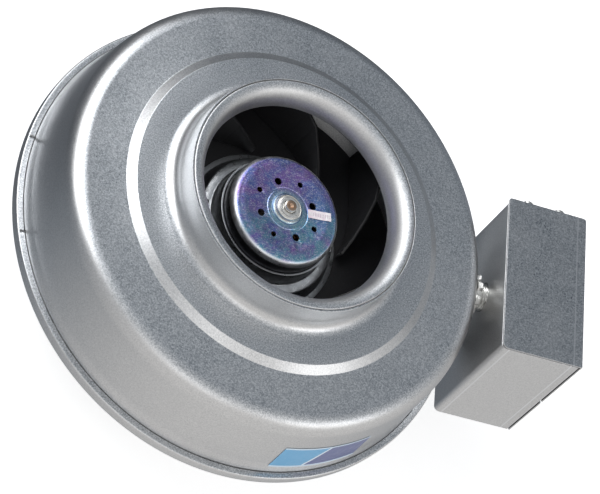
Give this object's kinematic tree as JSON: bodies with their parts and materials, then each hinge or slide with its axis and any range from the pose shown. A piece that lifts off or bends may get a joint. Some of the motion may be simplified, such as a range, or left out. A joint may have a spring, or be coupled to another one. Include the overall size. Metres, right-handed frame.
{
  "type": "inline duct fan",
  "caption": "Round inline centrifugal duct fan: stepped galvanised casing with two spigots, black backward-curved impeller on an external-rotor motor, side terminal box on a threaded nipple.",
  "frame": {"origin": "centre of the outlet spigot's rim, at its plane", "axes": "+Z along the fan's axis from the outlet to the inlet, +X towards the terminal box"},
  "size_m": [0.3597, 0.2992, 0.162],
  "materials": {
    "galvanised_steel": "galvanised, fine spangle",
    "zinc_plated_steel": "bright zinc plated",
    "passivated_steel": "blue iridescent zinc passivate",
    "black_plastic": "moulded, satin",
    "electrical_steel": "dark laminations",
    "bright_steel": "ground",
    "copper_winding": "varnished copper wire",
    "cast_aluminium": "die cast",
    "white_plastic": "moulded",
    "paper_label": "printed strip",
    "blue_label": "printed film, two blues",
    "green_screw": "green",
    "grey_sheath": "sheathed cable"
  },
  "bodies": {
    "housing": {"inlet_casing": "galvanised_steel", "outlet_casing": "galvanised_steel", "inlet_ring": "galvanised_steel", "motor_flange": "cast_aluminium", "stator_core": "electrical_steel", "front_winding": "copper_winding", "rear_winding": "copper_winding", "front_bearing": "bright_steel", "rear_bearing": "bright_steel", "motor_bracket": "galvanised_steel", "terminal_box": "galvanised_steel", "terminal_box_cover": "galvanised_steel", "knockout_plug": "zinc_plated_steel", "conduit_nipple": "zinc_plated_steel", "casing_locknut": "zinc_plated_steel", "outer_locknut": "zinc_plated_steel", "box_locknut": "zinc_plated_steel", "capacitor": "white_plastic", "capacitor_clip": "zinc_plated_steel", "terminal_block": "white_plastic", "earth_screw": "green_screw", "motor_lead": "grey_sheath", "label_sticker": "blue_label", "bracket_screw_1": "zinc_plated_steel", "bracket_screw_2": "zinc_plated_steel", "bracket_screw_3": "zinc_plated_steel", "bracket_screw_4": "zinc_plated_steel", "flange_screw_1": "zinc_plated_steel", "flange_screw_2": "zinc_plated_steel", "flange_screw_3": "zinc_plated_steel", "cover_screw_1": "zinc_plated_steel", "cover_screw_2": "zinc_plated_steel"},
    "rotor": {"rotor_cup": "passivated_steel", "rotor_cage": "electrical_steel", "rotor_shaft": "bright_steel", "shaft_circlip": "bright_steel", "rotor_sticker": "paper_label", "impeller_hub": "zinc_plated_steel", "impeller_back_plate": "black_plastic", "impeller_shroud": "black_plastic", "impeller_blade_1": "black_plastic", "impeller_blade_2": "black_plastic", "impeller_blade_3": "black_plastic", "impeller_blade_4": "black_plastic", "impeller_blade_5": "black_plastic", "impeller_blade_6": "black_plastic", "impeller_blade_7": "black_plastic"}
  },
  "joints": [
    {"name": "rotor_spin", "type": "hinge", "parent": "housing", "child": "rotor", "pos_m": [0, 0, 0.1], "axis": [0, 0, 1], "continuous": true}
  ]
}
